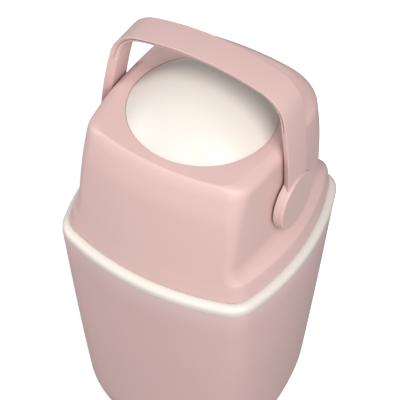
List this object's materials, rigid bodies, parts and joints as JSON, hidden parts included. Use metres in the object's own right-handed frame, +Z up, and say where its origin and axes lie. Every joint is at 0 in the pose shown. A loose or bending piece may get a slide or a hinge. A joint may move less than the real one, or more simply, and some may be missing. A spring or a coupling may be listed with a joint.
{
  "type": "nappy bin",
  "caption": "Flip-handle nappy bin: a tapered bin with a cream collar, a hinged lid and a ball-shaped drum whose bore turns up to the opening with the arched handle",
  "frame": {"origin": "centre of the footprint on the floor, under the middle of the lid's rim", "axes": "+Z up, -Y to the front of the bin, X along the handle's axis"},
  "size_m": [0.2774, 0.267, 0.5883],
  "materials": {
    "pink_plastic": "moulded, satin",
    "cream_plastic": "moulded, satin",
    "grey_plastic": "moulded",
    "rubber": "soft",
    "steel": "zinc plated"
  },
  "bodies": {
    "bin": {"bin_body": "pink_plastic", "base_pads": "rubber", "rim_collar": "cream_plastic", "bag_ring": "cream_plastic", "hinge_pin": "steel", "catch_clip": "cream_plastic"},
    "lid": {"lid_shell": "pink_plastic", "drum_cradle": "cream_plastic", "cradle_screws": "steel", "rim_gasket": "rubber", "opening_seal": "rubber", "chute_seal": "rubber", "bush_left": "grey_plastic", "bush_right": "grey_plastic"},
    "flip": {"drum_dome": "cream_plastic", "drum_base": "cream_plastic", "drum_screws": "steel", "bore_liner": "cream_plastic", "bore_ring_front": "cream_plastic", "bore_ring_back": "cream_plastic", "trunnion_left": "grey_plastic", "trunnion_right": "grey_plastic", "trunnion_screws": "steel", "handle": "pink_plastic", "handle_grip": "pink_plastic", "hub_cap_left": "pink_plastic", "hub_cap_right": "pink_plastic", "hub_screws": "steel"},
    "piston": {"piston": "grey_plastic", "piston_cover": "grey_plastic", "piston_seals": "rubber"}
  },
  "joints": [
    {"name": "lid_hinge", "type": "hinge", "parent": "bin", "child": "lid", "pos_m": [0, 0.1293, 0.35], "axis": [-1, 0, 0], "range_deg": [0, 100]},
    {"name": "handle_flip", "type": "hinge", "parent": "lid", "child": "flip", "pos_m": [0, 0, 0.4254], "axis": [1, 0, 0], "range_deg": [-87.6, 92.4]},
    {"name": "piston_slide", "type": "slide", "parent": "flip", "child": "piston", "axis": [0, 0.9991, -0.0419], "range_m": [-0.068, 0.068]}
  ]
}
